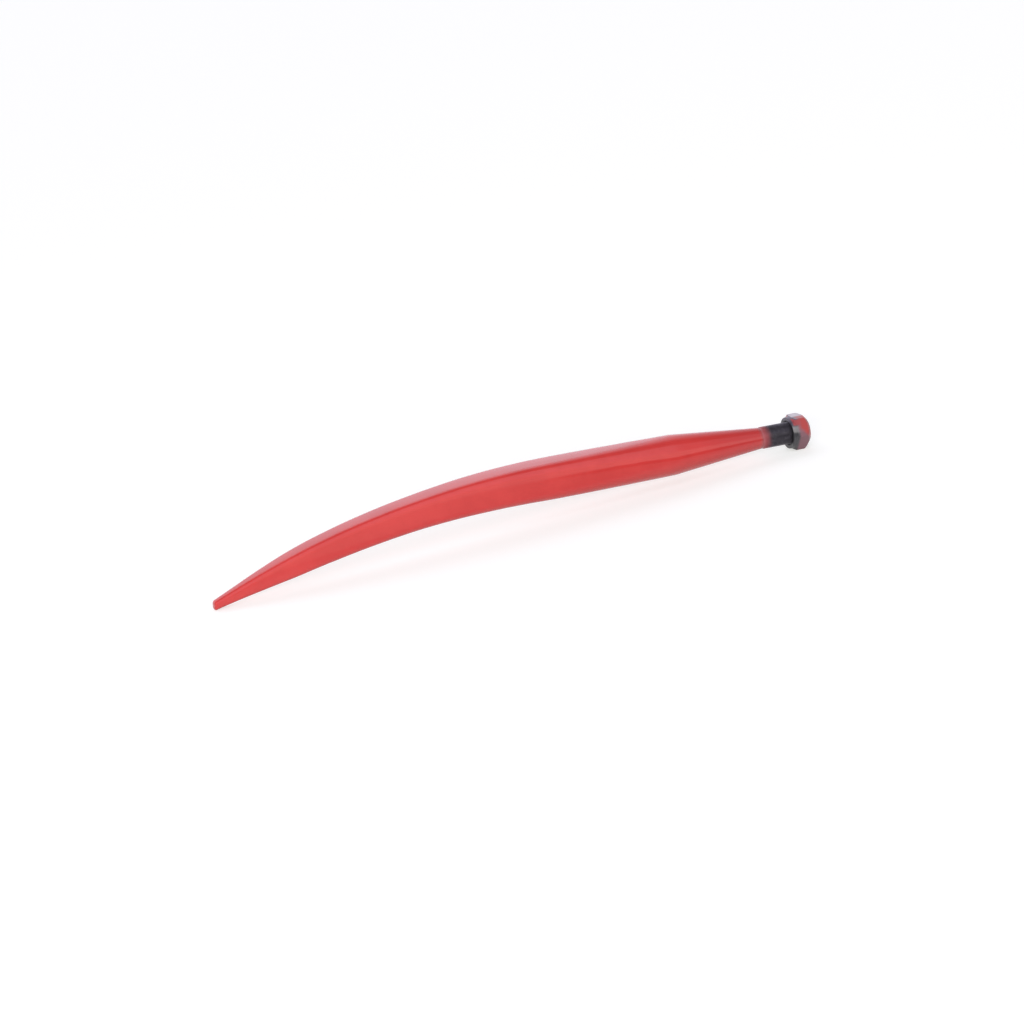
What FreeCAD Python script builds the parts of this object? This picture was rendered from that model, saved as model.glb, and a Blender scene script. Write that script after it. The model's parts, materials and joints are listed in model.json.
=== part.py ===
import FreeCAD, Part
import math
import os

from FreeCAD import Placement, Rotation, Vector

# Loader tine: a forged, curved and tapered bar with a turned cone and a threaded shank, and the hexagon
# nut that draws the cone into its socket. All sizes are in millimetres.
# The tine is built along its shank: origin on the shank's axis at the cone's small end, +X towards the
# nut, +Z on the outer side of the curve. At the end it is turned to stand as it rests: like a low bridge,
# on its tip and on the nut, with the origin under the middle of its length.

# Threaded shank
THREAD_DIAMETER = 28.0
THREAD_PITCH = 1.5
FREE_SHANK = 39.9
SHANK_PAST_NUT = 1.2
UNDERCUT_WIDTH = 1.5 * THREAD_PITCH
UNDERCUT_DIAMETER = 25.4

# Turned cone, one in five
CONE_SMALL_DIAMETER = 27.1
CONE_LENGTH = 121.5
CONE_TAPER = 1.0 / 5.0

# Hexagon nut
NUT_SIDES = 6
NUT_ACROSS_FLATS = 41.0
NUT_THICKNESS = 25.0
NUT_BORE_DIAMETER = 28.1
NUT_SEAT_DIAMETER = 39.6
NUT_COLLAR_DIAMETER = 41.2
NUT_COLLAR_LENGTH = 4.6
NUT_COLLAR_CHAMFER_ANGLE = 30.0
NUT_OUTER_DIAMETER = 33.0
NUT_OUTER_CHAMFER_ANGLE = 44.0
NUT_COUNTERSINK = 1.2
NUT_BLANK_ALLOWANCE = 1.0

# Centreline of the forged body, from the cone outwards: (length, radius of the bend), straight if None
CENTRELINE = (
    (187.0, None),
    (324.0, 1150.0),
    (125.0, 2200.0),
)

# Sections of the forged body: (distance from the cone, width across the sides, corner radius)
SECTIONS = (
    (0.0, 51.4, 25.7),
    (75.0, 49.8, 18.6),
    (156.0, 48.6, 13.8),
    (250.0, 44.4, 10.6),
    (343.0, 38.8, 8.6),
    (437.0, 34.4, 7.6),
    (512.0, 29.0, 6.6),
    (560.0, 22.1, 5.9),
    (590.0, 17.1, 5.3),
    (624.6, 11.9, 4.4),
)
ROUND_SECTION_SIDE_ARC = 22.5
SIDE_CROWN = 20.0

# Blunt tip: the last section stands square to the shank, and its edges are rounded
TIP_ROUNDING = 2.8
TIP_ROUNDING_STEPS = 4

# How the part is stood up: its pitch is found in this many steps
STANDING_STEPS = 4

ALONG = Vector(1, 0, 0)
ACROSS = Vector(0, 1, 0)
SAME_LENGTH = 1e-6


def centreline_at(distance):
    """Place on the body's centreline and the angle it has turned down by, at a distance from the cone."""
    x = -CONE_LENGTH
    z = 0.0
    slope = 0.0
    left = distance
    for length, radius in CENTRELINE:
        run = min(left, length)
        if radius is None:
            x -= run * math.cos(slope)
            z -= run * math.sin(slope)
        else:
            turned = slope + run / radius
            x -= radius * (math.sin(turned) - math.sin(slope))
            z -= radius * (math.cos(slope) - math.cos(turned))
            slope = turned
        left -= run
    return Vector(x, 0, z), slope


def side_arc_angle(half, corner, side):
    """Half the angle that a side's arc spans, so that it runs smoothly into both of its corners."""
    if side - corner < SAME_LENGTH:
        return math.radians(ROUND_SECTION_SIDE_ARC)
    share = (side - half) / (side - corner)
    return math.acos(share / math.sqrt(2.0)) - math.pi / 4.0


def section_wire(width, corner):
    """A square with crowned sides and round corners in the YZ plane; a circle where corner is half the width."""
    half = width / 2.0
    squareness = 1.0 - corner / half
    side = half * (1.0 + SIDE_CROWN * squareness)
    spread = side_arc_angle(half, corner, side)
    side_centre = Vector(0, 0, half - side)
    joint = side_centre + Vector(0, math.sin(spread), math.cos(spread)) * side
    corner_centre = joint - Vector(0, math.sin(spread), math.cos(spread)) * corner
    diagonal = corner_centre + Vector(0, 1, 1).normalize() * corner
    middle = (spread + math.pi / 4.0) / 2.0
    first_middle = corner_centre + Vector(0, math.sin(middle), math.cos(middle)) * corner
    second_middle = Vector(0, first_middle.z, first_middle.y)
    next_joint = Vector(0, joint.z, joint.y)
    left_joint = Vector(0, -joint.y, joint.z)
    edges = []
    for quarter in range(4):
        turn = Placement(Vector(), Rotation(ALONG, -90.0 * quarter))
        side_arc = Part.Arc(left_joint, Vector(0, 0, half), joint).toShape()
        first_corner = Part.Arc(joint, first_middle, diagonal).toShape()
        second_corner = Part.Arc(diagonal, second_middle, next_joint).toShape()
        for edge in (side_arc, first_corner, second_corner):
            edge.Placement = turn
            edges.append(edge)
    return Part.Wire(edges)


def forged_body():
    """The bar from the cone's large end to the tip: round at the cone, square with soft corners after."""
    wires = []
    for distance, width, corner in SECTIONS:
        place, slope = centreline_at(distance)
        tilt = 0.0 if distance == SECTIONS[-1][0] else slope
        wire = section_wire(width, corner)
        wire.Placement = Placement(place, Rotation(ACROSS, -math.degrees(tilt)))
        wires.append(wire)
    return Part.makeLoft(wires, True, False)


def blunt_tip():
    """The last few millimetres: sections that shrink along a quarter circle, down to a small flat end."""
    distance, width, corner = SECTIONS[-1]
    place, slope = centreline_at(distance)
    onwards = Vector(-math.cos(slope), 0, -math.sin(slope))
    wires = []
    for step in range(TIP_ROUNDING_STEPS + 1):
        angle = math.radians(90.0 * step / TIP_ROUNDING_STEPS)
        inset = TIP_ROUNDING * (1.0 - math.cos(angle))
        wire = section_wire(width - 2.0 * inset, corner - inset)
        wire.Placement = Placement(place + onwards * (TIP_ROUNDING * math.sin(angle)), Rotation())
        wires.append(wire)
    return Part.makeLoft(wires, True, False)


def turned_end():
    """The cone, the undercut behind the thread, and the shank with its chamfered ends, as one turning."""
    cone_small = CONE_SMALL_DIAMETER / 2.0
    cone_large = cone_small + CONE_LENGTH * CONE_TAPER / 2.0
    undercut = UNDERCUT_DIAMETER / 2.0
    thread = THREAD_DIAMETER / 2.0
    end = FREE_SHANK + NUT_THICKNESS + SHANK_PAST_NUT
    profile = [
        (-CONE_LENGTH, 0.0),
        (-CONE_LENGTH, cone_large),
        (0.0, cone_small),
        (0.0, undercut),
        (UNDERCUT_WIDTH, undercut),
        (UNDERCUT_WIDTH + thread - undercut, thread),
        (end - THREAD_PITCH, thread),
        (end, thread - THREAD_PITCH),
        (end, 0.0),
    ]
    points = [Vector(x, 0, radius) for x, radius in profile]
    face = Part.Face(Part.makePolygon(points + points[:1]))
    return face.revolve(Vector(), ALONG, 360)


def tine():
    """The whole forging: body, cone and shank in one piece."""
    return forged_body().fuse([blunt_tip(), turned_end()]).removeSplitter().Solids[0]


def nut_turning():
    """The round blank that trims the hexagon's corners: to a collar at the seat, to a cone at the outer end."""
    corner = NUT_ACROSS_FLATS / math.sqrt(3.0) + NUT_BLANK_ALLOWANCE
    seat = NUT_SEAT_DIAMETER / 2.0
    collar = NUT_COLLAR_DIAMETER / 2.0
    outer = NUT_OUTER_DIAMETER / 2.0
    collar_drop = (corner - collar) * math.tan(math.radians(NUT_COLLAR_CHAMFER_ANGLE))
    outer_drop = (corner - outer) * math.tan(math.radians(NUT_OUTER_CHAMFER_ANGLE))
    profile = [
        (0.0, 0.0),
        (0.0, seat),
        (NUT_COLLAR_LENGTH, collar),
        (NUT_COLLAR_LENGTH + collar_drop, corner),
        (NUT_THICKNESS - outer_drop, corner),
        (NUT_THICKNESS, outer),
        (NUT_THICKNESS, 0.0),
    ]
    points = [Vector(FREE_SHANK + x, 0, radius) for x, radius in profile]
    face = Part.Face(Part.makePolygon(points + points[:1]))
    return face.revolve(Vector(FREE_SHANK, 0, 0), ALONG, 360)


def nut_bore():
    """The hole through the nut, with a countersink at each face."""
    bore = NUT_BORE_DIAMETER / 2.0
    mouth = bore + NUT_COUNTERSINK
    start = FREE_SHANK
    end = FREE_SHANK + NUT_THICKNESS
    profile = [
        (start, 0.0),
        (start, mouth),
        (start + NUT_COUNTERSINK, bore),
        (end - NUT_COUNTERSINK, bore),
        (end, mouth),
        (end, 0.0),
    ]
    points = [Vector(x, 0, radius) for x, radius in profile]
    face = Part.Face(Part.makePolygon(points + points[:1]))
    return face.revolve(Vector(start, 0, 0), ALONG, 360)


def nut():
    """The hexagon nut, one flat up and one down, chamfered at both ends."""
    corner = NUT_ACROSS_FLATS / math.sqrt(3.0)
    points = []
    for index in range(NUT_SIDES + 1):
        angle = 2.0 * math.pi * index / NUT_SIDES
        points.append(Vector(FREE_SHANK, corner * math.cos(angle), corner * math.sin(angle)))
    prism = Part.Face(Part.makePolygon(points)).extrude(ALONG * NUT_THICKNESS)
    return prism.common(nut_turning()).cut(nut_bore()).Solids[0]


def stand(pieces):
    """Turns the pieces so that tip and nut are both on the ground, and centres them over the origin."""
    turned = dict(pieces)
    pitch = 0.0
    for _ in range(STANDING_STEPS):
        rise = turned["nut"].optimalBoundingBox().ZMin - turned["tine"].optimalBoundingBox().ZMin
        pitch += math.degrees(rise / turned["tine"].optimalBoundingBox().XLength)
        turned = {name: shape.copy() for name, shape in pieces.items()}
        for shape in turned.values():
            shape.rotate(Vector(), ACROSS, pitch)
    boxes = [shape.optimalBoundingBox() for shape in turned.values()]
    middle = (min(box.XMin for box in boxes) + max(box.XMax for box in boxes)) / 2.0
    ground = min(box.ZMin for box in boxes)
    for shape in turned.values():
        shape.translate(Vector(-middle, 0, -ground))
    print("pitch %.4f degrees, moved by %.4f, %.4f mm" % (pitch, -middle, -ground))
    return turned


def main():
    """Builds both pieces, stands them up and writes each to its own file."""
    os.makedirs("parts", exist_ok=True)
    for name, shape in stand({"tine": tine(), "nut": nut()}).items():
        box = shape.optimalBoundingBox()
        print(name, "valid", shape.isValid(), "solids", len(shape.Solids), "faces", len(shape.Faces))
        print("  volume %.0f mm3, X %.2f to %.2f" % (shape.Volume, box.XMin, box.XMax))
        print("  Y %.2f to %.2f, Z %.2f to %.2f" % (box.YMin, box.YMax, box.ZMin, box.ZMax))
        shape.exportStep("parts/%s.step" % name)


main()
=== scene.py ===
"""Dresses the loader tine: the red forging with its blackened thread, the hexagon nut, and a plain studio.

Both pieces are modelled along the shank, in metres, with X on the shank's axis towards the nut and the origin
at the cone's small end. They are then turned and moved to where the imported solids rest.
"""

import json
import logging
import math
from contextlib import contextmanager
from dataclasses import dataclass
from enum import Enum
from typing import Callable, Iterator, Optional, Sequence

import bmesh
import bpy
from mathutils import Euler, Matrix, Vector


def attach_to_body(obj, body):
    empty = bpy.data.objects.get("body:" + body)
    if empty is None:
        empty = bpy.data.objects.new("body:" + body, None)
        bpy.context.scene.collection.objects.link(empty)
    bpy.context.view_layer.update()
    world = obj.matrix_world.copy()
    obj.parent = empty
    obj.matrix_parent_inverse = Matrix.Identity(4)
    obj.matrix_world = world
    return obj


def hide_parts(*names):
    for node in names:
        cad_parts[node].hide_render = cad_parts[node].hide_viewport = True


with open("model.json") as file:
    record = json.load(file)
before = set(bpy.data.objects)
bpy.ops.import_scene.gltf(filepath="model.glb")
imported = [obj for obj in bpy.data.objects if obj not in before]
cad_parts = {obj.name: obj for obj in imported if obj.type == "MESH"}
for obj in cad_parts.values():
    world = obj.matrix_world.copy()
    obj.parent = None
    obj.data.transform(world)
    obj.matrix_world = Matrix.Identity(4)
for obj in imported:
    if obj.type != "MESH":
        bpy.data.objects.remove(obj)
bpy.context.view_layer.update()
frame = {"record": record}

log = logging.getLogger("loader_tine")

MM = 0.001
BODY = "root"
CONE_MOUNT = "cone"
IMAGE_PIXELS = 1024
QUARTER_TURN = math.pi / 2.0
SMOOTH_ANGLE = math.radians(30.0)
TOLERANCE = 0.01 * MM
NUT_SIDES = 6
SIDE_CROWN = 20.0
ROUND_ENOUGH = 1e-4
COAT_IOR = 1.5

Span = tuple[float, float]
Place = tuple[float, float, float]
Colour = tuple[float, float, float]


class BooleanKind(Enum):
    """How one closed mesh is combined with another."""

    CUT = "DIFFERENCE"
    KEEP_COMMON = "INTERSECT"
    JOIN = "UNION"


class Slot(Enum):
    """The record's material slots."""

    RED_PAINT = "red_paint"
    DARK_STEEL = "dark_steel"


# Working in edit mode


def deselect_everything() -> None:
    """Leave edit mode and deselect every object."""
    if bpy.context.mode != "OBJECT":
        bpy.ops.object.mode_set(mode="OBJECT")
    bpy.ops.object.select_all(action="DESELECT")


def pick(piece: bpy.types.Object) -> None:
    """Make one object the only selected one.

    Args:
        piece: the object to work on.
    """
    deselect_everything()
    piece.select_set(True)
    bpy.context.view_layer.objects.active = piece


def keep_place() -> None:
    """Keep the active object's place, turn and size in its mesh."""
    bpy.ops.object.transform_apply(location=True, rotation=True, scale=True)


@contextmanager
def editing(piece: bpy.types.Object) -> Iterator[bpy.types.Object]:
    """Work on a mesh in edit mode, by vertices, with nothing selected.

    Args:
        piece: the mesh object to edit.

    Yields:
        The same object, in edit mode.
    """
    pick(piece)
    bpy.ops.object.mode_set(mode="EDIT")
    bpy.ops.mesh.select_mode(type="VERT")
    bpy.ops.mesh.select_all(action="DESELECT")
    yield piece
    bpy.ops.object.mode_set(mode="OBJECT")


def select_where(piece: bpy.types.Object, test: Callable[[Vector], bool]) -> None:
    """Select the vertices that pass a test on their place, and nothing else.

    Args:
        piece: the mesh object, in edit mode.
        test: says of a vertex's place whether it is wanted.
    """
    mesh = bmesh.from_edit_mesh(piece.data)
    for vertex in mesh.verts:
        vertex.select = bool(test(vertex.co))
    mesh.select_flush_mode()
    bmesh.update_edit_mesh(piece.data)


def apply_modifier(piece: bpy.types.Object, kind: str, **settings: object) -> None:
    """Add a modifier to a piece and apply it.

    Args:
        piece: the mesh object.
        kind: the modifier's type.
        settings: its settings by name.
    """
    pick(piece)
    modifier = piece.modifiers.new(kind.lower(), kind)
    for name, value in settings.items():
        setattr(modifier, name, value)
    bpy.ops.object.modifier_apply(modifier=modifier.name)


def combine(piece: bpy.types.Object, tool: bpy.types.Object, kind: BooleanKind) -> None:
    """Combine a piece with a tool mesh, and remove the tool.

    Args:
        piece: the closed mesh that is kept.
        tool: the closed mesh that shapes it.
        kind: whether the tool cuts, trims or joins.
    """
    apply_modifier(piece, "BOOLEAN", object=tool, operation=kind.value, solver="EXACT")
    bpy.data.objects.remove(tool, do_unlink=True)


def clean(piece: bpy.types.Object, merge: float) -> None:
    """Merge doubles, drop slivers, point every face outwards and shade the piece.

    Args:
        piece: the mesh object.
        merge: the distance under which vertices become one, in metres.
    """
    with editing(piece):
        bpy.ops.mesh.select_all(action="SELECT")
        bpy.ops.mesh.remove_doubles(threshold=merge)
        bpy.ops.mesh.dissolve_degenerate(threshold=merge)
        bpy.ops.mesh.normals_make_consistent(inside=False)
    bpy.ops.object.shade_smooth_by_angle(angle=SMOOTH_ANGLE)


def smooth_between(knots: Sequence[Span], at: float) -> float:
    """Read a value from a smooth curve through knots that doesn't overshoot them.

    Args:
        knots: (place, value) pairs in rising order of place.
        at: the place to read.

    Returns:
        The value there, held at the first or last knot's value outside them.
    """
    if at <= knots[0][0]:
        return knots[0][1]
    if at >= knots[-1][0]:
        return knots[-1][1]
    rises = [(b[1] - a[1]) / (b[0] - a[0]) for a, b in zip(knots, knots[1:])]
    slopes = [rises[0]]
    for before, after in zip(rises, rises[1:]):
        slopes.append(0.0 if before * after <= 0.0 else 2.0 * before * after / (before + after))
    slopes.append(rises[-1])
    index = max(i for i, knot in enumerate(knots[:-1]) if knot[0] <= at)
    (start, low), (end, high) = knots[index], knots[index + 1]
    span = end - start
    t = (at - start) / span
    return (
        low * (1.0 + 2.0 * t) * (1.0 - t) ** 2
        + high * (3.0 - 2.0 * t) * t**2
        + slopes[index] * span * t * (1.0 - t) ** 2
        - slopes[index + 1] * span * t**2 * (1.0 - t)
    )


@dataclass(frozen=True)
class ShankFrame:
    """The shank's frame within the row's frame: where its origin is and how far it pitches down."""

    origin: Vector
    pitch: float

    @classmethod
    def from_record(cls, record: dict) -> "ShankFrame":
        """Read the frame from the cone's mount.

        Args:
            record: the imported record.

        Returns:
            The frame at the cone's small end.
        """
        mount = next(m for m in record["mounts"] if m["name"] == CONE_MOUNT)
        axis = Vector(mount["axis"])
        return cls(Vector(mount["pos_m"]), math.atan2(-axis.z, axis.x))

    def set_down(self, piece: bpy.types.Object) -> None:
        """Move a piece to its place and keep that place in its mesh.

        Args:
            piece: a mesh modelled along the shank.
        """
        pick(piece)
        piece.location = self.origin
        piece.rotation_euler = (0.0, self.pitch, 0.0)
        keep_place()


# Finishes


class Wiring:
    """Adds and joins the nodes of one shader."""

    def __init__(self, tree: bpy.types.NodeTree) -> None:
        """Start from an empty tree.

        Args:
            tree: the node tree to fill.
        """
        self.tree = tree
        self.tree.nodes.clear()

    def add(self, kind: str, inputs: Optional[dict] = None, **settings: object) -> bpy.types.Node:
        """Add a node.

        Args:
            kind: the node's type.
            inputs: values or sockets for its inputs, by name or number.
            settings: its properties by name.

        Returns:
            The new node.
        """
        node = self.tree.nodes.new(kind)
        for name, value in settings.items():
            setattr(node, name, value)
        for key, value in (inputs or {}).items():
            if isinstance(value, bpy.types.NodeSocket):
                self.tree.links.new(value, node.inputs[key])
            else:
                node.inputs[key].default_value = value
        return node

    def math(self, operation: str, *values: object, clamp: bool = False) -> bpy.types.NodeSocket:
        """Add a Math node.

        Args:
            operation: what it does.
            values: its values or sockets, in order.
            clamp: whether the result is held between 0 and 1.

        Returns:
            The result's socket.
        """
        node = self.add("ShaderNodeMath", dict(enumerate(values)), operation=operation, use_clamp=clamp)
        return node.outputs[0]

    def overlap(self, *masks: bpy.types.NodeSocket) -> bpy.types.NodeSocket:
        """Multiply masks, which leaves the places that all of them cover.

        Args:
            masks: the masks' sockets.

        Returns:
            The product's socket.
        """
        product = masks[0]
        for mask in masks[1:]:
            product = self.math("MULTIPLY", product, mask)
        return product

    def split(self, place: bpy.types.NodeSocket) -> bpy.types.bpy_prop_collection:
        """Give the sockets X, Y and Z of a place."""
        return self.add("ShaderNodeSeparateXYZ", {0: place}).outputs

    def object_place(self) -> bpy.types.NodeSocket:
        """Give the place on the object."""
        return self.add("ShaderNodeTexCoord").outputs["Object"]

    def ramp(
        self, value: object, start: float, end: float, low: float = 0.0, high: float = 1.0
    ) -> bpy.types.NodeSocket:
        """Turn a value into a soft step.

        Args:
            value: the socket to read.
            start: where the step starts.
            end: where it ends.
            low: the result at the start.
            high: the result at the end.

        Returns:
            The result's socket.
        """
        node = self.add(
            "ShaderNodeMapRange",
            {"Value": value, "From Min": start, "From Max": end, "To Min": low, "To Max": high},
            interpolation_type="SMOOTHSTEP",
        )
        return node.outputs["Result"]

    def noise(self, place: object, waves: float, detail: float = 3.0, roughness: float = 0.5) -> bpy.types.NodeSocket:
        """Add a noise texture.

        Args:
            place: the coordinate socket.
            waves: waves per metre.
            detail: how many finer layers it has.
            roughness: how strong those layers are.

        Returns:
            The noise's value, about 0.5 in the middle.
        """
        node = self.add(
            "ShaderNodeTexNoise", {"Vector": place, "Scale": waves, "Detail": detail, "Roughness": roughness}
        )
        return node.outputs["Fac"]

    def blend(self, share: object, first: object, second: object) -> bpy.types.NodeSocket:
        """Mix two colours.

        Args:
            share: how much of the second shows.
            first: the first colour or socket.
            second: the second colour or socket.

        Returns:
            The mixed colour's socket.
        """
        node = self.tree.nodes.new("ShaderNodeMix")
        node.data_type = "RGBA"
        for socket, value in ((node.inputs[0], share), (node.inputs[6], first), (node.inputs[7], second)):
            if isinstance(value, bpy.types.NodeSocket):
                self.tree.links.new(value, socket)
            else:
                socket.default_value = (*value, 1.0)
        return node.outputs[2]

    def bump(self, height: object, depth: float, below: Optional[object] = None) -> bpy.types.NodeSocket:
        """Add a bump layer.

        Args:
            height: the height socket, from 0 to 1.
            depth: how deep that height is, in metres.
            below: the normal of the layer under it.

        Returns:
            The normal's socket.
        """
        inputs = {"Height": height, "Distance": depth, "Strength": 1.0}
        if below is not None:
            inputs["Normal"] = below
        return self.add("ShaderNodeBump", inputs).outputs["Normal"]

    def coat(self, colour: object, roughness: object, normal: object, metallic: object = 0.0) -> None:
        """End a material in one glossy surface.

        Args:
            colour: its colour or socket.
            roughness: its roughness or socket.
            normal: the socket of its bumps.
            metallic: how much of it is metal, or the socket.
        """
        inputs = {"Base Color": colour, "Roughness": roughness, "Metallic": metallic, "Normal": normal}
        self.surface(self.add("ShaderNodeBsdfPrincipled", {**inputs, "IOR": COAT_IOR}))

    def surface(self, shader: bpy.types.Node) -> None:
        """Show a shader as the material's surface."""
        self.add("ShaderNodeOutputMaterial", {"Surface": shader.outputs[0]})


def new_finish(name: str) -> tuple[bpy.types.Material, Wiring]:
    """Start a material.

    Args:
        name: the material's name.

    Returns:
        The material, and the wiring of its empty tree.
    """
    material = bpy.data.materials.new(name)
    material.use_nodes = True
    return material, Wiring(material.node_tree)


def shank_place(wiring: Wiring, shank: ShankFrame) -> bpy.types.NodeSocket:
    """Give a shader its places in the shank's frame.

    Args:
        wiring: the shader being made.
        shank: where the shank's frame is.

    Returns:
        A vector socket with X along the shank, in metres.
    """
    turned = wiring.add(
        "ShaderNodeMapping",
        {"Vector": wiring.object_place(), "Location": shank.origin, "Rotation": (0.0, shank.pitch, 0.0)},
        vector_type="TEXTURE",
    )
    return turned.outputs["Vector"]


@dataclass(frozen=True)
class RedPaint:
    """Semi-gloss red paint on a forged surface, thinner in places, darker along the cone as painted shade, and darker
    and greyer over the cone's last few millimetres.
    """

    colour: Colour = (0.635, 0.0480, 0.0425)
    thin_colour: Colour = (0.590, 0.0420, 0.0375)
    thin_waves: float = 24.0
    cone_painted_shade_colour: Colour = (0.545, 0.0480, 0.0450)
    cone_shade_reach: float = 95.0 * MM
    cone_end_colour: Colour = (0.40, 0.085, 0.085)
    cone_end_reach: float = 5.0 * MM
    cone_end_share: float = 0.8
    gloss_roughness: float = 0.13
    roughness_swing: float = 0.06
    roughness_waves: float = 130.0
    ripple_depth: float = 0.10 * MM
    ripple_waves: float = 55.0
    peel_depth: float = 0.006 * MM
    peel_waves: float = 900.0
    scuff_colour: Colour = (0.40, 0.030, 0.030)
    scuff_place: Place = (-0.5265, -0.008, -0.066)
    scuff_reach: Place = (0.011, 0.010, 0.0035)
    scuff_edge: Span = (1.5, 0.7)
    scuff_share: float = 0.5
    scuff_waves: float = 400.0

    def make(self, shank: ShankFrame) -> bpy.types.Material:
        """Make the material.

        Args:
            shank: where the shank's frame is.

        Returns:
            The new material.
        """
        material, wiring = new_finish("red_paint")
        place = shank_place(wiring, shank)
        along = wiring.split(place)["X"]

        thick = wiring.ramp(wiring.noise(place, self.thin_waves, detail=4.0, roughness=0.6), 0.35, 0.65)
        colour = wiring.blend(thick, self.thin_colour, self.colour)
        colour = wiring.blend(self.scuff(wiring, place), colour, self.scuff_colour)
        # Painted shade: the paint darkens along the cone towards its small end.
        colour = wiring.blend(wiring.ramp(along, -self.cone_shade_reach, 0.0), colour, self.cone_painted_shade_colour)
        # The cone's last few millimetres are darker and greyer.
        cone_end_darkening = wiring.ramp(along, -self.cone_end_reach, 0.0, high=self.cone_end_share)
        colour = wiring.blend(cone_end_darkening, colour, self.cone_end_colour)

        dull = wiring.noise(place, self.roughness_waves, detail=4.0, roughness=0.6)
        smoothest = self.gloss_roughness - 0.5 * self.roughness_swing
        roughness = wiring.math("MULTIPLY_ADD", dull, self.roughness_swing, smoothest)
        normal = wiring.bump(wiring.noise(place, self.ripple_waves, detail=2.0, roughness=0.45), self.ripple_depth)
        normal = wiring.bump(wiring.noise(place, self.peel_waves, detail=2.0), self.peel_depth, normal)
        wiring.coat(colour, roughness, normal)
        return material

    def scuff(self, wiring: Wiring, place: bpy.types.NodeSocket) -> bpy.types.NodeSocket:
        """Mask of the one faint scuff on the near side.

        Args:
            wiring: the shader being made.
            place: places in the shank's frame.

        Returns:
            The mask's socket.
        """
        away = wiring.add("ShaderNodeVectorMath", {0: place, 1: self.scuff_place}, operation="SUBTRACT")
        shares = wiring.add("ShaderNodeVectorMath", {0: away.outputs[0], 1: self.scuff_reach}, operation="DIVIDE")
        length = wiring.add("ShaderNodeVectorMath", {0: shares.outputs[0]}, operation="LENGTH")
        ragged = wiring.math("ADD", length.outputs["Value"], wiring.noise(place, self.scuff_waves))
        return wiring.ramp(ragged, *self.scuff_edge, high=self.scuff_share)


@dataclass(frozen=True)
class BlackThread:
    """Blackened thread with red overspray over its first turns."""

    colour: Colour = (0.110, 0.101, 0.117)
    wear_and_highlight_colour: Colour = (0.165, 0.152, 0.172)
    worn_waves: float = 160.0
    overspray: Colour = (0.39, 0.095, 0.100)
    overspray_start: float = 4.0 * MM
    overspray_end: float = 14.5 * MM
    overspray_ragged: float = 5.0 * MM
    overspray_waves: float = 220.0
    metallic: float = 0.75
    roughness: Span = (0.30, 0.44)
    roughness_waves: float = 300.0
    grain_depth: float = 0.01 * MM
    grain_waves: float = 1400.0

    def make(self, shank: ShankFrame) -> bpy.types.Material:
        """Make the material.

        Args:
            shank: where the shank's frame is.

        Returns:
            The new material.
        """
        material, wiring = new_finish("black_thread")
        place = shank_place(wiring, shank)

        torn = wiring.noise(place, self.overspray_waves, detail=5.0, roughness=0.6)
        ragged = wiring.math("MULTIPLY_ADD", torn, self.overspray_ragged, wiring.split(place)["X"])
        half = 0.5 * self.overspray_ragged
        painted = wiring.ramp(ragged, self.overspray_end + half, self.overspray_start + half)
        wear_and_highlight = wiring.ramp(wiring.noise(place, self.worn_waves, detail=5.0, roughness=0.65), 0.45, 0.7)
        steel = wiring.blend(wear_and_highlight, self.colour, self.wear_and_highlight_colour)
        colour = wiring.blend(painted, steel, self.overspray)

        metal = wiring.math("MULTIPLY_ADD", painted, -self.metallic, self.metallic)
        dull = wiring.noise(place, self.roughness_waves, detail=4.0, roughness=0.6)
        normal = wiring.bump(wiring.noise(place, self.grain_waves, roughness=0.6), self.grain_depth)
        wiring.coat(colour, wiring.ramp(dull, 0.3, 0.7, *self.roughness), normal, metal)
        return material


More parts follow.
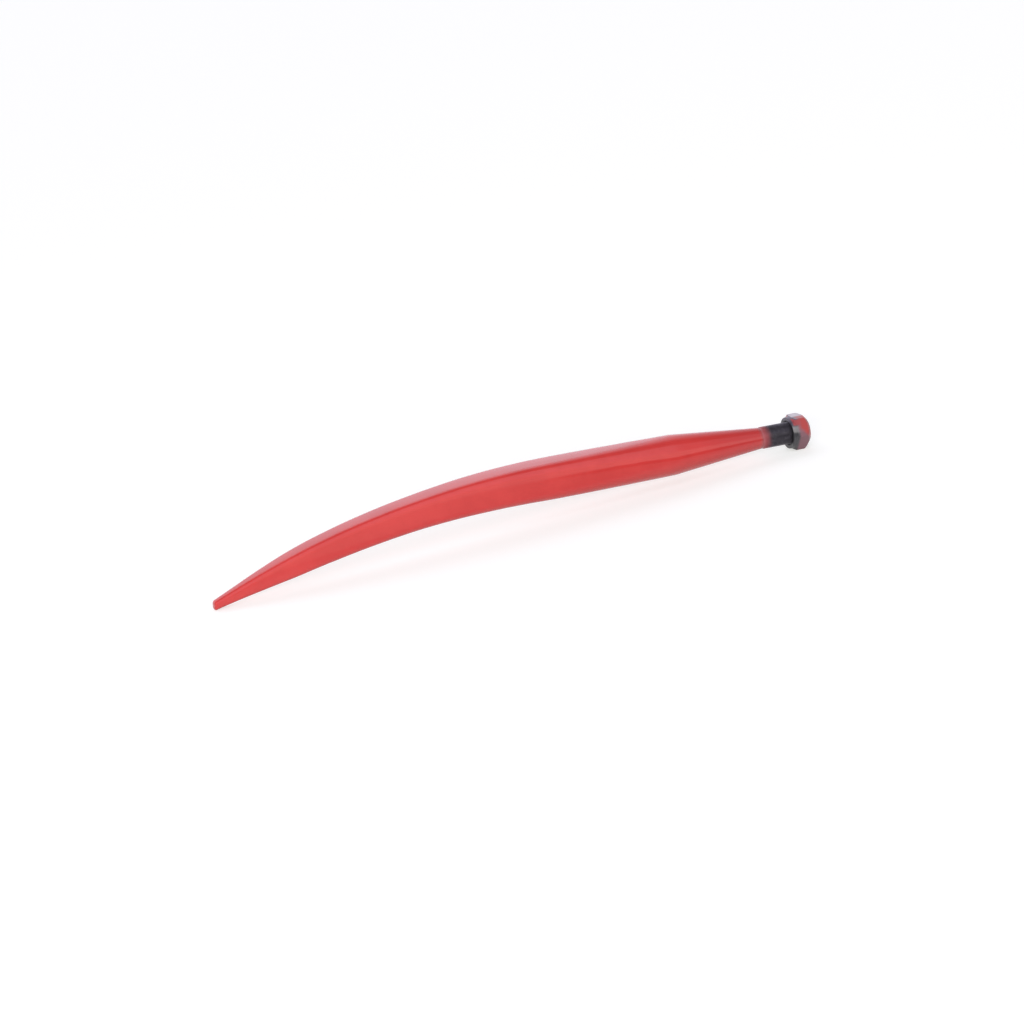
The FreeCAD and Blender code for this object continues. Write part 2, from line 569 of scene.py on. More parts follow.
@dataclass(frozen=True)
class OversprayedSteel:
    """Dark nut steel, hazed and oversprayed with red towards its outer end, with a bare patch on its top flat,
    painted shade in the gap round the shank, painted light towards the top and a painted highlight on the collar.

    Heights are over the shank's axis and runs are from the nut's near face. A span's first value is where its soft
    edge starts and its second where it ends.
    """

    near_face: float = 39.9 * MM
    ragged: float = 3.0 * MM
    ragged_waves: float = 330.0
    dark_colour: Colour = (0.082, 0.080, 0.084)
    face_top_painted_light_colour: Colour = (0.135, 0.118, 0.148)
    face_top_painted_light_heights: Span = (12.0 * MM, 15.5 * MM)
    painted_gap_shade_colour: Colour = (0.014, 0.013, 0.016)
    painted_gap_shade_radii: Span = (15.4 * MM, 17.2 * MM)
    wear_and_highlight_colour: Colour = (0.25, 0.235, 0.232)
    highlight_foot: Span = (3.5 * MM, 7.0 * MM)
    highlight_top: Span = (14.0 * MM, 11.0 * MM)
    highlight_radii: Span = (19.0 * MM, 19.7 * MM)
    haze: Colour = (0.25, 0.105, 0.122)
    haze_run: Span = (5.5 * MM, 9.5 * MM)
    haze_share: float = 0.85
    overspray: Colour = (0.44, 0.046, 0.039)
    overspray_run: Span = (6.0 * MM, 14.5 * MM)
    overspray_drop_height: float = 10.0 * MM
    overspray_drop: float = 0.9
    shoulder_foot: Span = (12.0 * MM, 14.5 * MM)
    shoulder_top: Span = (19.9 * MM, 19.3 * MM)
    shoulder_run: Span = (1.2 * MM, 3.0 * MM)
    shoulder_share: float = 0.75
    bare_colour: Colour = (0.44, 0.39, 0.40)
    bare_heights: Span = (20.0 * MM, 20.3 * MM)
    bare_across: Span = (-3.5 * MM, -0.5 * MM)
    bare_run: Span = (4.5 * MM, 6.5 * MM)
    metallic: float = 0.6
    roughness: Span = (0.30, 0.44)
    roughness_waves: float = 200.0
    grain_depth: float = 0.008 * MM
    grain_waves: float = 700.0

    def make(self, shank: ShankFrame) -> bpy.types.Material:
        """Make the material.

        Args:
            shank: where the shank's frame is.

        Returns:
            The new material.
        """
        material, wiring = new_finish("oversprayed_steel")
        place = shank_place(wiring, shank)
        parts = wiring.split(place)
        across, up = parts["Y"], parts["Z"]
        torn = wiring.noise(place, self.ragged_waves, detail=5.0, roughness=0.6)
        shift = wiring.math("MULTIPLY_ADD", torn, self.ragged, -0.5 * self.ragged - self.near_face)
        along = wiring.math("ADD", parts["X"], shift)

        hazed = wiring.ramp(along, *self.haze_run, high=self.haze_share)
        painted = self.paint_cover(wiring, along, up)
        bare = wiring.overlap(
            wiring.ramp(up, *self.bare_heights),
            wiring.ramp(across, *self.bare_across),
            wiring.ramp(along, *self.bare_run),
        )
        colour = wiring.blend(hazed, self.steel_colour(wiring, across, up), self.haze)
        colour = wiring.blend(painted, colour, self.overspray)
        colour = wiring.blend(bare, colour, self.bare_colour)

        cover = wiring.math("SUBTRACT", wiring.math("MAXIMUM", painted, hazed), bare, clamp=True)
        metal = wiring.math("MULTIPLY_ADD", cover, -self.metallic, self.metallic)
        dull = wiring.noise(place, self.roughness_waves, detail=4.0, roughness=0.6)
        normal = wiring.bump(wiring.noise(place, self.grain_waves, roughness=0.6), self.grain_depth)
        wiring.coat(colour, wiring.ramp(dull, 0.3, 0.7, *self.roughness), normal, metal)
        return material

    def steel_colour(
        self, wiring: Wiring, across: bpy.types.NodeSocket, up: bpy.types.NodeSocket
    ) -> bpy.types.NodeSocket:
        """Colour of the steel, with painted light and shade: black painted shade in the gap round the shank, painted
        light towards the top, and a painted highlight, lighter on the collar where its highlight falls.

        Args:
            wiring: the shader being made.
            across: distance across from the shank's axis.
            up: height over it.

        Returns:
            The colour's socket.
        """
        spoke = wiring.add("ShaderNodeCombineXYZ", {"Y": across, "Z": up}).outputs[0]
        radius = wiring.add("ShaderNodeVectorMath", {0: spoke}, operation="LENGTH").outputs["Value"]
        # Painted light: the steel is lighter towards the top.
        face = wiring.blend(wiring.ramp(up, *self.face_top_painted_light_heights), self.dark_colour, self.face_top_painted_light_colour)
        # Painted shade: black in the gap where the thread enters the nut.
        steel = wiring.blend(wiring.ramp(radius, *self.painted_gap_shade_radii), self.painted_gap_shade_colour, face)
        # Painted highlight: the collar is lighter in the band where its highlight falls.
        wear_and_highlight = wiring.overlap(
            wiring.ramp(up, *self.highlight_foot), wiring.ramp(up, *self.highlight_top), wiring.ramp(radius, *self.highlight_radii)
        )
        return wiring.blend(wear_and_highlight, steel, self.wear_and_highlight_colour)

    def paint_cover(
        self, wiring: Wiring, along: bpy.types.NodeSocket, up: bpy.types.NodeSocket
    ) -> bpy.types.NodeSocket:
        """Mask of the red overspray: the lower a place is, the further from the near face it starts.

        Args:
            wiring: the shader being made.
            along: distance from the near face, made ragged.
            up: height over the shank's axis.

        Returns:
            The mask's socket.
        """
        below = wiring.math("MINIMUM", wiring.math("SUBTRACT", up, self.overspray_drop_height), 0.0)
        front = wiring.ramp(wiring.math("MULTIPLY_ADD", below, self.overspray_drop, along), *self.overspray_run)
        shoulder = wiring.overlap(
            wiring.ramp(up, *self.shoulder_foot, high=self.shoulder_share),
            wiring.ramp(along, *self.shoulder_run),
            wiring.ramp(up, *self.shoulder_top),
        )
        return wiring.math("MAXIMUM", front, shoulder)


# Pieces


def add_disc(name: str, centre: Sequence[float], radius: float, points: int) -> bpy.types.Object:
    """Add a flat disc across the X axis.

    Args:
        name: the new object's name.
        centre: its centre, in metres.
        radius: its radius, in metres.
        points: how many points its rim has.

    Returns:
        The new mesh object.
    """
    deselect_everything()
    bpy.ops.mesh.primitive_circle_add(
        vertices=points, radius=radius, fill_type="NGON", location=centre, rotation=(0.0, QUARTER_TURN, 0.0)
    )
    disc = bpy.context.object
    disc.name = disc.data.name = name
    keep_place()
    return disc


def extrude_profile(profile: Sequence[Span]) -> None:
    """Extrude the selected ring along the X axis and scale it, one step after the other.

    Args:
        profile: (place along X, radius) pairs in order, in metres; the ring is at the first one.
    """
    for (x, radius), (next_x, next_radius) in zip(profile, profile[1:]):
        bpy.ops.mesh.extrude_region_move(TRANSFORM_OT_translate={"value": (next_x - x, 0.0, 0.0)})
        ratio = next_radius / radius
        bpy.ops.transform.resize(value=(1.0, ratio, ratio), center_override=(next_x, 0.0, 0.0))


def add_turning(name: str, profile: Sequence[Span], points: int) -> bpy.types.Object:
    """Turn a closed blank about the X axis by extruding and scaling a disc.

    Args:
        name: the new object's name.
        profile: (place along X, radius) pairs in order along X, in metres.
        points: how many points each ring has.

    Returns:
        The new mesh object.
    """
    start, radius = profile[0]
    blank = add_disc(name, (start, 0.0, 0.0), radius, points)
    with editing(blank):
        bpy.ops.mesh.select_all(action="SELECT")
        extrude_profile(profile)
        bpy.ops.mesh.select_all(action="SELECT")
        bpy.ops.mesh.normals_make_consistent(inside=False)
    return blank


@dataclass(frozen=True)
class Station:
    """One cross-section of the forging, square to a line that is tilted down by tilt."""

    centre: Vector
    tilt: float
    width: float
    corner: float

    def radius_at(self, angle: float) -> float:
        """Distance from the centre to the surface.

        Args:
            angle: the direction's angle from the middle of the nearest side, up to 45 degrees, in radians.

        Returns:
            The distance, in metres.
        """
        half = self.width / 2.0
        squareness = 1.0 - self.corner / half
        if squareness < ROUND_ENOUGH:
            return half
        side = half * (1.0 + SIDE_CROWN * squareness)
        share = (side - half) / (side - self.corner)
        spread = math.acos(share / math.sqrt(2.0)) - math.pi / 4.0
        joint = Vector((side * math.sin(spread), half - side + side * math.cos(spread)))
        if angle <= math.atan2(joint.x, joint.y):
            centre, radius = Vector((0.0, half - side)), side
        else:
            centre, radius = joint - Vector((math.sin(spread), math.cos(spread))) * self.corner, self.corner
        towards = Vector((math.sin(angle), math.cos(angle)))
        reach = towards.dot(centre)
        return reach + math.sqrt(reach**2 - centre.length_squared + radius**2)


@dataclass
class Forging:
    """The tine itself: blunt tip, curved square body, cone and threaded shank, in one piece."""

    shank: ShankFrame
    paint: bpy.types.Material
    blacking: bpy.types.Material
    thread_diameter: float = 28.0 * MM
    thread_pitch: float = 1.5 * MM
    thread_depth: float = 0.92 * MM
    shank_end: float = 66.1 * MM
    undercut_width: float = 2.25 * MM
    undercut_diameter: float = 25.4 * MM
    cone_small_diameter: float = 27.1 * MM
    cone_length: float = 121.5 * MM
    cone_taper: float = 0.2
    tip_rounding: float = 2.8 * MM
    tip_rounding_steps: int = 5
    ring_points: int = 96
    body_step: float = 6.0 * MM
    cone_step: float = 9.0 * MM
    ripple_size: float = 34.0 * MM
    ripple_depth: float = 0.30 * MM
    ripple_middle: float = 0.62
    ripple_fade: float = 40.0 * MM
    ridge_sink: float = 0.3 * MM
    ridge_base_share: float = 0.82
    ridge_crest_share: float = 0.16
    ridge_turn_steps: int = 60
    ridge_trim: float = 0.05 * MM
    weld: float = 0.002 * MM
    sections: tuple[tuple[float, float, float], ...] = (
        (0.0, 51.4, 25.7),
        (75.0, 49.8, 18.6),
        (156.0, 48.6, 13.8),
        (250.0, 44.4, 10.6),
        (343.0, 38.8, 8.6),
        (437.0, 34.4, 7.6),
        (512.0, 29.0, 6.6),
        (560.0, 22.1, 5.9),
        (590.0, 17.1, 5.3),
        (624.6, 11.9, 4.4),
    )
    centreline: tuple[tuple[float, Optional[float]], ...] = ((187.0, None), (324.0, 1150.0), (125.0, 2200.0))

    def centreline_at(self, distance: float) -> tuple[Vector, float]:
        """Place on the body's centreline.

        Args:
            distance: how far it is from the cone's large end, in metres.

        Returns:
            The place, and the angle that the line has turned down by.
        """
        place = Vector((-self.cone_length, 0.0, 0.0))
        slope, left = 0.0, distance
        for length, radius in self.centreline:
            run = min(left, length * MM)
            if radius is None:
                place -= run * Vector((math.cos(slope), 0.0, math.sin(slope)))
            else:
                turned = slope + run / (radius * MM)
                place.x -= radius * MM * (math.sin(turned) - math.sin(slope))
                place.z -= radius * MM * (math.cos(slope) - math.cos(turned))
                slope = turned
            left -= run
        return place, slope

    def body_station(self, distance: float) -> Station:
        """Cross-section of the body; the last ones turn until the end is square to the shank.

        Args:
            distance: how far it is from the cone's large end, in metres.

        Returns:
            The station there.
        """
        place, slope = self.centreline_at(distance)
        widths = [(s * MM, width * MM) for s, width, _ in self.sections]
        corners = [(s * MM, corner * MM) for s, _, corner in self.sections]
        last, end = widths[-3][0], widths[-1][0]
        if distance > last:
            slope = self.centreline_at(last)[1] * (end - distance) / (end - last)
        return Station(place, slope, smooth_between(widths, distance), smooth_between(corners, distance))

    def stations(self) -> list[Station]:
        """Cross-sections from the tip's face to the cone's small end.

        Returns:
            The stations in order.
        """
        length = self.sections[-1][0] * MM
        last = self.body_station(length)
        slope = self.centreline_at(length)[1]
        onwards = Vector((-math.cos(slope), 0.0, -math.sin(slope)))
        found = []
        for step in range(self.tip_rounding_steps, 0, -1):
            angle = QUARTER_TURN * step / self.tip_rounding_steps
            inset = self.tip_rounding * (1.0 - math.cos(angle))
            centre = last.centre + onwards * (self.tip_rounding * math.sin(angle))
            found.append(Station(centre, 0.0, last.width - 2.0 * inset, last.corner - inset))
        steps = round(length / self.body_step)
        for step in range(steps + 1):
            found.append(self.body_station(length * (1.0 - step / steps)))
        steps = round(self.cone_length / self.cone_step)
        for step in range(1, steps + 1):
            x = -self.cone_length * (1.0 - step / steps)
            width = self.cone_small_diameter - x * self.cone_taper
            found.append(Station(Vector((x, 0.0, 0.0)), 0.0, width, width / 2.0))
        return found

    def build(self) -> bpy.types.Object:
        """Model the forging.

        Returns:
            The finished mesh object, in place.
        """
        piece = self.draw_out()
        self.turn_shank(piece)
        self.ripple(piece)
        self.finish_surfaces(piece)
        combine(piece, self.thread_ridge(), BooleanKind.JOIN)
        clean(piece, self.weld)
        self.shank.set_down(piece)
        return piece

    def draw_out(self) -> bpy.types.Object:
        """Extrude a ring from the tip to the cone's small end, reshaped at each station.

        Returns:
            The new mesh object, closed at both ends.
        """
        stations = self.stations()
        first = stations[0]
        piece = add_disc("tine_forging", first.centre, first.width / 2.0, self.ring_points)
        round_start = Station(first.centre, 0.0, first.width, first.width / 2.0)
        with editing(piece):
            bpy.ops.mesh.select_all(action="SELECT")
            self.reshape(piece, round_start, first)
            for before, after in zip(stations, stations[1:]):
                move = after.centre - before.centre
                bpy.ops.mesh.extrude_region_move(TRANSFORM_OT_translate={"value": move})
                bpy.ops.transform.rotate(
                    value=after.tilt - before.tilt,
                    orient_axis="Y",
                    orient_type="GLOBAL",
                    center_override=after.centre,
                )
                self.reshape(piece, before, after)
        return piece

    def reshape(self, piece: bpy.types.Object, before: Station, after: Station) -> None:
        """Scale the selected ring's points from one station's outline to the next one's.

        Args:
            piece: the mesh object, in edit mode, with the ring selected.
            before: the station that the ring was shaped for.
            after: the station that it is at now.
        """
        mesh = bmesh.from_edit_mesh(piece.data)
        up = Vector((-math.sin(after.tilt), 0.0, math.cos(after.tilt)))
        step = math.tau / self.ring_points
        ring = [vertex for vertex in mesh.verts if vertex.select]
        groups: dict[int, list[bmesh.types.BMVert]] = {}
        for vertex in ring:
            arm = vertex.co - after.centre
            quarter = math.atan2(arm.y, arm.dot(up)) % QUARTER_TURN
            groups.setdefault(round(min(quarter, QUARTER_TURN - quarter) / step), []).append(vertex)
        for number, group in groups.items():
            ratio = after.radius_at(number * step) / before.radius_at(number * step)
            for vertex in ring:
                vertex.select = False
            for vertex in group:
                vertex.select = True
            bpy.ops.transform.resize(value=(ratio, ratio, ratio), center_override=after.centre)
        for vertex in ring:
            vertex.select = True
        mesh.select_flush_mode()

    def turn_shank(self, piece: bpy.types.Object) -> None:
        """Extrude the undercut and the shank's core from the cone's small end.

        Args:
            piece: the mesh object that ends at the cone.
        """
        core = self.thread_diameter / 2.0 - self.thread_depth
        undercut = self.undercut_diameter / 2.0
        rise = core - undercut
        end = self.shank_end
        tip = self.thread_diameter / 2.0 - self.thread_pitch
        profile = (
            (0.0, self.cone_small_diameter / 2.0),
            (0.0, undercut),
            (self.undercut_width, undercut),
            (self.undercut_width + rise, core),
            (end - (core - tip), core),
            (end, tip),
        )
        with editing(piece):
            select_where(piece, lambda place: place.x > -TOLERANCE)
            extrude_profile(profile)

    def finish_surfaces(self, piece: bpy.types.Object) -> None:
        """Paint the body and the cone, and blacken the shank from the cone's small end on.

        Args:
            piece: the mesh object.
        """
        piece.data.materials.append(self.paint)
        piece.data.materials.append(self.blacking)
        pick(piece)
        bpy.ops.object.mode_set(mode="EDIT")
        bpy.ops.mesh.select_mode(type="FACE")
        mesh = bmesh.from_edit_mesh(piece.data)
        for face in mesh.faces:
            face.select = face.calc_center_median().x > -TOLERANCE
        bmesh.update_edit_mesh(piece.data)
        piece.active_material_index = 1
        bpy.ops.object.material_slot_assign()
        bpy.ops.object.mode_set(mode="OBJECT")

    def ripple(self, piece: bpy.types.Object) -> None:
        """Give the forged body the slight unevenness of hammered steel.

        Args:
            piece: the mesh object.
        """
        group = piece.vertex_groups.new(name="forged")
        for vertex in piece.data.vertices:
            share = min(max((-self.cone_length - vertex.co.x) / self.ripple_fade, 0.0), 1.0)
            if share > 0.0:
                group.add([vertex.index], share, "REPLACE")
        texture = bpy.data.textures.new("forge_ripple", "CLOUDS")
        texture.noise_scale = self.ripple_size
        texture.noise_depth = 1
        apply_modifier(
            piece,
            "DISPLACE",
            texture=texture,
            texture_coords="LOCAL",
            strength=self.ripple_depth,
            mid_level=self.ripple_middle,
            vertex_group=group.name,
        )
        piece.vertex_groups.remove(piece.vertex_groups["forged"])

    def thread_ridge(self) -> bpy.types.Object:
        """Wind the thread's ridge round the shank and trim it to the shank's chamfers.

        Returns:
            The ridge as a closed mesh, to be joined to the shank.
        """
        root = self.thread_diameter / 2.0 - self.thread_depth
        base_width = self.ridge_base_share * self.thread_pitch
        crest_width = self.ridge_crest_share * self.thread_pitch
        deselect_everything()
        bpy.ops.mesh.primitive_plane_add(size=1.0, rotation=(QUARTER_TURN, 0.0, 0.0))
        ridge = bpy.context.object
        ridge.name = "thread_ridge"
        keep_place()
        turns = math.ceil((self.shank_end - self.undercut_width) / self.thread_pitch) + 2
        with editing(ridge):
            bpy.ops.mesh.select_all(action="SELECT")
            height = self.thread_depth + self.ridge_sink
            bpy.ops.transform.resize(value=(base_width, 1.0, height), center_override=(0.0, 0.0, 0.0))
            select_where(ridge, lambda place: place.z > 0.0)
            narrow = crest_width / base_width
            bpy.ops.transform.resize(value=(narrow, 1.0, 1.0), center_override=(0.0, 0.0, 0.0))
            bpy.ops.mesh.select_all(action="SELECT")
            start = self.undercut_width - self.thread_pitch
            bpy.ops.transform.translate(value=(start, 0.0, root - self.ridge_sink + height / 2.0))
            bpy.ops.mesh.delete(type="ONLY_FACE")
        apply_modifier(
            ridge,
            "SCREW",
            axis="X",
            angle=math.tau,
            screw_offset=self.thread_pitch,
            iterations=turns,
            steps=self.ridge_turn_steps,
            render_steps=self.ridge_turn_steps,
            use_merge_vertices=False,
        )
        with editing(ridge):
            bpy.ops.mesh.select_all(action="SELECT")
            bpy.ops.mesh.fill_holes(sides=6)
            bpy.ops.mesh.select_all(action="SELECT")
            bpy.ops.mesh.normals_make_consistent(inside=False)
        combine(ridge, self.thread_envelope(), BooleanKind.KEEP_COMMON)
        ridge.data.materials.clear()
        ridge.data.materials.append(self.blacking)
        return ridge

    def thread_envelope(self) -> bpy.types.Object:
        """The turned blank that the thread is trimmed to: a cylinder with a chamfer at each end.

        Returns:
            The blank as a closed mesh.
        """
        crest = self.thread_diameter / 2.0 + self.ridge_trim
        undercut = self.undercut_diameter / 2.0
        tip = self.thread_diameter / 2.0 - self.thread_pitch
        start, end = self.undercut_width, self.shank_end
        profile = ((start, undercut), (start + crest - undercut, crest), (end - (crest - tip), crest), (end, tip))
        return add_turning("thread_envelope", profile, self.ring_points)


@dataclass
class HexNut:
    """The hexagon nut, chamfered at both ends, with one flat up."""

    shank: ShankFrame
    steel: bpy.types.Material
    across_flats: float = 41.0 * MM
    thickness: float = 25.0 * MM
    near_face: float = 39.9 * MM
    bore_diameter: float = 28.1 * MM
    seat_diameter: float = 39.6 * MM
    collar_diameter: float = 41.2 * MM
    collar_length: float = 4.6 * MM
    collar_chamfer: float = math.radians(30.0)
    outer_diameter: float = 33.0 * MM
    outer_chamfer: float = math.radians(44.0)
    countersink: float = 1.2 * MM
    edge_rounding: float = 0.35 * MM
    edge_rounding_steps: int = 2
    edge_angle: float = math.radians(20.0)
    blank_allowance: float = 1.0 * MM
    turning_points: int = 128
    weld: float = 0.005 * MM

    def build(self) -> bpy.types.Object:
        """Model the nut.

        Returns:
            The finished mesh object, in place.
        """
        corner = self.across_flats / math.sqrt(3.0)
        deselect_everything()
        bpy.ops.mesh.primitive_cylinder_add(
            vertices=NUT_SIDES,
            radius=corner,
            depth=self.thickness,
            location=(self.near_face + self.thickness / 2.0, 0.0, 0.0),
            rotation=(0.0, QUARTER_TURN, 0.0),
        )
        piece = bpy.context.object
        piece.name = piece.data.name = "hex_nut"
        keep_place()
        self.turn_flat_up(piece)
        combine(piece, self.chamfer_blank(), BooleanKind.KEEP_COMMON)
        combine(piece, self.bore_tool(), BooleanKind.CUT)
        clean(piece, self.weld)
        apply_modifier(
            piece,
            "BEVEL",
            width=self.edge_rounding,
            segments=self.edge_rounding_steps,
            limit_method="ANGLE",
            angle_limit=self.edge_angle,
        )
        bpy.ops.object.shade_smooth_by_angle(angle=SMOOTH_ANGLE)
        self.shank.set_down(piece)
        piece.data.materials.append(self.steel)
        return piece

    def turn_flat_up(self, piece: bpy.types.Object) -> None:
        """Turn the hexagon by half a side where its corners point up.

        Args:
            piece: the hexagonal prism.
        """
        highest = max(vertex.co.z for vertex in piece.data.vertices)
        if highest > self.across_flats / 2.0 + TOLERANCE:
            with editing(piece):
                bpy.ops.mesh.select_all(action="SELECT")
                bpy.ops.transform.rotate(
                    value=math.pi / NUT_SIDES,
                    orient_axis="X",
                    orient_type="GLOBAL",
                    center_override=(0.0, 0.0, 0.0),
                )

    def chamfer_blank(self) -> bpy.types.Object:
        """The turned blank whose cones chamfer the hexagon's corners.

        Returns:
            The blank as a closed mesh.
        """
        corner = self.across_flats / math.sqrt(3.0) + self.blank_allowance
        collar = self.collar_diameter / 2.0
        outer = self.outer_diameter / 2.0
        collar_end = self.near_face + self.collar_length
        collar_drop = (corner - collar) * math.tan(self.collar_chamfer)
        outer_drop = (corner - outer) * math.tan(self.outer_chamfer)
        end = self.near_face + self.thickness
        profile = (
            (self.near_face, self.seat_diameter / 2.0),
            (collar_end, collar),
            (collar_end + collar_drop, corner),
            (end - outer_drop, corner),
            (end, outer),
        )
        return add_turning("nut_blank", profile, self.turning_points)

    def bore_tool(self) -> bpy.types.Object:
        """The bore with a countersink at each end, past both faces.

        Returns:
            The tool as a closed mesh.
        """
        bore = self.bore_diameter / 2.0
        sink = self.countersink
        start, end = self.near_face, self.near_face + self.thickness
        profile = (
            (start - sink, bore + 2.0 * sink),
            (start + sink, bore),
            (end - sink, bore),
            (end + sink, bore + 2.0 * sink),
        )
        return add_turning("nut_bore", profile, self.turning_points)


# Studio


@dataclass(frozen=True)
class PhotoCamera:
    """The camera at the photograph's viewing angle."""

    target: Place = (-0.00800, -0.00693, 0.02177)
    azimuth: float = math.radians(-21.093)
    elevation: float = math.radians(20.243)
    roll: float = math.radians(-7.952)
    distance: float = 6.0
    focal_pixels: float = 4863.0
    sensor: float = 36.0
    clip: Span = (0.1, 100.0)

    def place(self) -> None:
        """Add the camera and make it the scene's own."""
        data = bpy.data.cameras.new("photo_camera")
        data.sensor_fit = "HORIZONTAL"
        data.sensor_width = self.sensor
        data.lens = self.focal_pixels * self.sensor / IMAGE_PIXELS
        data.clip_start, data.clip_end = self.clip
        camera = bpy.data.objects.new("photo_camera", data)
        bpy.context.scene.collection.objects.link(camera)
        back = Vector(
            (
                math.sin(self.azimuth) * math.cos(self.elevation),
                -math.cos(self.azimuth) * math.cos(self.elevation),
                math.sin(self.elevation),
            )
        )
        camera.location = Vector(self.target) + back * self.distance
        level = Euler((QUARTER_TURN - self.elevation, 0.0, self.azimuth)).to_matrix()
        camera.rotation_euler = (level @ Matrix.Rotation(self.roll, 3, "Z")).to_euler()
        bpy.context.scene.camera = camera


@dataclass(frozen=True)
class Studio:
    """A pale floor under a soft tent of light that runs along the tine."""

    floor_size: float = 9.0
    floor_colour: Colour = (0.58, 0.58, 0.58)
    floor_glow: Colour = (1.0, 1.0, 0.94)
    floor_lift: float = 0.535
    floor_gleam_reach: Span = (0.03, 0.12)
    tent: tuple[Span, ...] = (
        (-180.0, 0.4),
        (-2.0, 0.2),
        (3.0, 0.2),
        (9.0, 1.17),
        (70.0, 1.17),
        (77.0, 0.18),
        (102.0, 0.18),
        (126.0, 1.5),
        (180.0, 1.5),
    )
    tent_reach: Span = (0.5, 0.75)
    tent_shift: float = 0.1
    tent_end_level: float = 0.4
    tent_tint: Colour = (0.96, 0.96, 1.08)
    backdrop_level: float = 1.0
    lamp_place: Place = (-1.7, -2.9, 1.05)
    lamp_size: Span = (1.6, 1.17)
    lamp_power: float = 65.0

    def set_up(self) -> None:
        """Lay the floor, light the world and hang the lamp."""
        self.lay_floor()
        self.hang_tent()
        self.add_lamp()

    def lay_floor(self) -> None:
        """Lay the pale floor; the camera sees it lifted to white, and so do reflections close in front."""
        deselect_everything()
        bpy.ops.mesh.primitive_plane_add(size=self.floor_size, location=(0.0, 0.0, 0.0))
        floor = bpy.context.object
        floor.name = "floor"
        material, wiring = new_finish("pale_floor")
        # Painted reflection: close in front of the tine, glossy rays see the floor lifted as well.
        near, far = self.floor_gleam_reach
        close = wiring.ramp(wiring.split(wiring.object_place())["Y"], -far, -near)
        rays = wiring.add("ShaderNodeLightPath").outputs
        mirrored = wiring.math("MAXIMUM", rays["Is Glossy Ray"], rays["Is Transmission Ray"])
        seen = wiring.math("MAXIMUM", rays["Is Camera Ray"], wiring.math("MULTIPLY", mirrored, close))
        lift = wiring.math("MULTIPLY", seen, self.floor_lift)
        paper = wiring.add("ShaderNodeBsdfDiffuse", {"Color": (*self.floor_colour, 1.0)})
        glow = wiring.add("ShaderNodeEmission", {"Color": (*self.floor_glow, 1.0), "Strength": lift})
        wiring.surface(wiring.add("ShaderNodeAddShader", {0: paper.outputs[0], 1: glow.outputs[0]}))
        floor.data.materials.append(material)

    def hang_tent(self) -> None:
        """Light the world by the angle over the tine, from the floor in front, overhead and to the back.

        The tent's levels go from degrees to strength, and 0 degrees is level in front. The camera sees plain white.
        """
        world = bpy.data.worlds.new("light_tent")
        bpy.context.scene.world = world
        world.use_nodes = True
        wiring = Wiring(world.node_tree)
        direction = wiring.split(wiring.add("ShaderNodeTexCoord").outputs["Generated"])
        front = wiring.math("MULTIPLY", direction["Y"], -1.0)
        share = wiring.math("MULTIPLY_ADD", wiring.math("ARCTAN2", direction["Z"], front), 1.0 / math.tau, 0.5)
        levels = wiring.add("ShaderNodeValToRGB", {"Fac": share})
        brightest = max(level for _, level in self.tent)
        stops = levels.color_ramp.elements
        for degrees, _ in self.tent[1:-1]:
            stops.new(degrees / 360.0 + 0.5)
        for stop, (_, level) in zip(stops, self.tent):
            stop.color = (*(level / brightest * tint for tint in self.tent_tint), 1.0)
        sideways = wiring.math("ABSOLUTE", wiring.math("ADD", direction["X"], self.tent_shift))
        fall = wiring.ramp(sideways, *self.tent_reach, brightest, brightest * self.tent_end_level)
        tent = wiring.add("ShaderNodeBackground", {"Color": levels.outputs["Color"], "Strength": fall})
        white = {"Color": (1.0, 1.0, 1.0, 1.0), "Strength": self.backdrop_level}
        backdrop = wiring.add("ShaderNodeBackground", white)
        rays = wiring.add("ShaderNodeLightPath").outputs
        seen = wiring.math("MAXIMUM", rays["Is Camera Ray"], rays["Is Transmission Ray"])
        both = wiring.add("ShaderNodeMixShader", {0: seen, 1: tent.outputs[0], 2: backdrop.outputs[0]})
        wiring.add("ShaderNodeOutputWorld", {"Surface": both.outputs[0]})

    def add_lamp(self) -> None:
        """Hang one large soft lamp over the front, which reflections don't show."""
        data = bpy.data.lights.new("soft_key", "AREA")
        data.shape = "RECTANGLE"
        data.size, data.size_y = self.lamp_size
        data.energy = self.lamp_power
        lamp = bpy.data.objects.new("soft_key", data)
        lamp.location = self.lamp_place
        lamp.rotation_euler = (-lamp.location).to_track_quat("-Z", "Y").to_euler()
        lamp.visible_glossy = False
        bpy.context.scene.collection.objects.link(lamp)


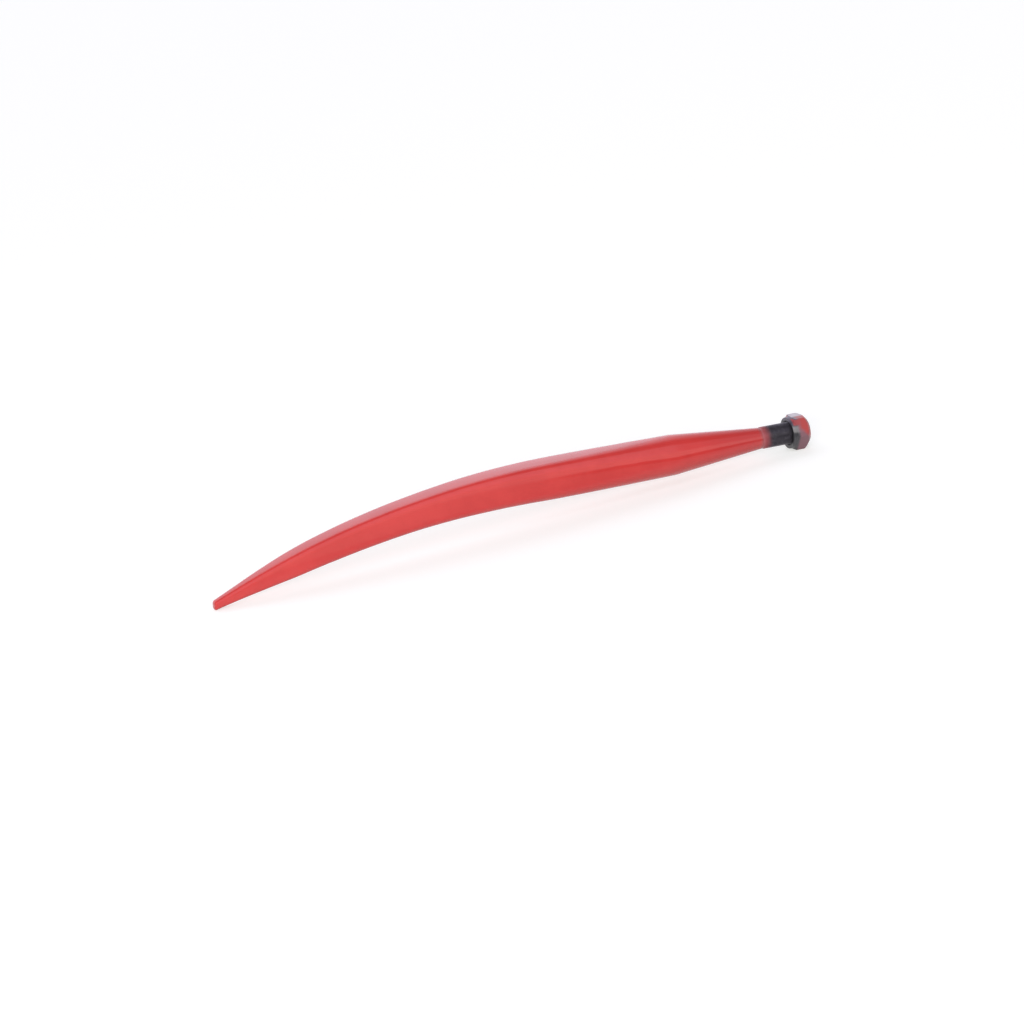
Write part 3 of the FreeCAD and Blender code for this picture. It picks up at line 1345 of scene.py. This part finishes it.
@dataclass(frozen=True)
class LowCard:
    """A low pale card in front of the tine that glows and only reflections show: a painted reflection, with its dark
    band as a thin dark line.

    The card is pale over the band and duller under it. At the left the band has no width, so that only the two
    levels meet there; further right it opens to a thin line, and then widens. Runs are along X, from where a change
    starts to where it ends.
    """

    centre: Place = (0.325, -0.105, 0.045)
    size: Span = (1.35, 0.090)
    tint: Colour = (0.98, 0.98, 0.95)
    level: float = 1.1
    foot_levels: Span = (1.0, 0.50)
    foot_run: Span = (-0.26, 0.2)
    band_heights: Span = (38.0 * MM, 25.0 * MM)
    band_run: Span = (-0.05, 0.15)
    band_thin: float = 2.5 * MM
    band_thin_run: Span = (0.02, 0.12)
    band_wide: float = 12.0 * MM
    band_wide_run: Span = (0.10, 0.28)
    band_blur: float = 1.0 * MM

    def stand(self) -> None:
        """Stand the card up in front."""
        deselect_everything()
        bpy.ops.mesh.primitive_plane_add(size=1.0, location=self.centre, rotation=(QUARTER_TURN, 0.0, 0.0))
        card = bpy.context.object
        card.name = "low_card"
        card.scale = (*self.size, 1.0)
        keep_place()
        card.data.materials.append(self.make_finish())
        card.visible_camera = False
        card.visible_diffuse = False
        card.visible_shadow = False

    def make_finish(self) -> bpy.types.Material:
        """Make the card's glow.

        Returns:
            The new material.
        """
        material, wiring = new_finish("low_card")
        place = wiring.split(wiring.object_place())
        along, height = place["X"], place["Z"]
        foot = wiring.ramp(along, *self.foot_run, *self.foot_levels)
        over_band = wiring.math("SUBTRACT", height, wiring.ramp(along, *self.band_run, *self.band_heights))
        upper = wiring.ramp(over_band, -self.band_blur, self.band_blur)
        level = wiring.add("ShaderNodeMapRange", {"Value": upper, "To Min": foot, "To Max": self.level})
        thin = wiring.ramp(along, *self.band_thin_run, high=self.band_thin)
        half_band = wiring.math("ADD", thin, wiring.ramp(along, *self.band_wide_run, high=self.band_wide))
        off_band = wiring.math("SUBTRACT", wiring.math("ABSOLUTE", over_band), half_band)
        lit = wiring.ramp(off_band, -self.band_blur, self.band_blur)
        strength = wiring.math("MULTIPLY", level.outputs["Result"], lit)
        wiring.surface(wiring.add("ShaderNodeEmission", {"Color": (*self.tint, 1.0), "Strength": strength}))
        return material


def attach(piece: bpy.types.Object, node: str) -> None:
    """Let a piece stand for its CAD node and ride on the body.

    Args:
        piece: the finished mesh object.
        node: the CAD node that it stands for.
    """
    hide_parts(node)
    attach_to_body(piece, BODY)
    log.info("%s stands for %s with %d faces", piece.name, node, len(piece.data.polygons))


def main() -> None:
    """Build the pieces in order, then the studio and the camera."""
    shank = ShankFrame.from_record(frame["record"])
    paint = RedPaint().make(shank)
    thread = BlackThread().make(shank)
    steel = OversprayedSteel().make(shank)

    tine = Forging(shank, paint, thread).build()
    attach(tine, "tine")

    nut = HexNut(shank, steel).build()
    attach(nut, "nut")

    Studio().set_up()
    LowCard().stand()
    PhotoCamera().place()
    bpy.context.scene.view_settings.view_transform = "Standard"


if __name__ == "__main__":
    logging.basicConfig(level=logging.INFO, format="%(name)s: %(message)s")
    main()
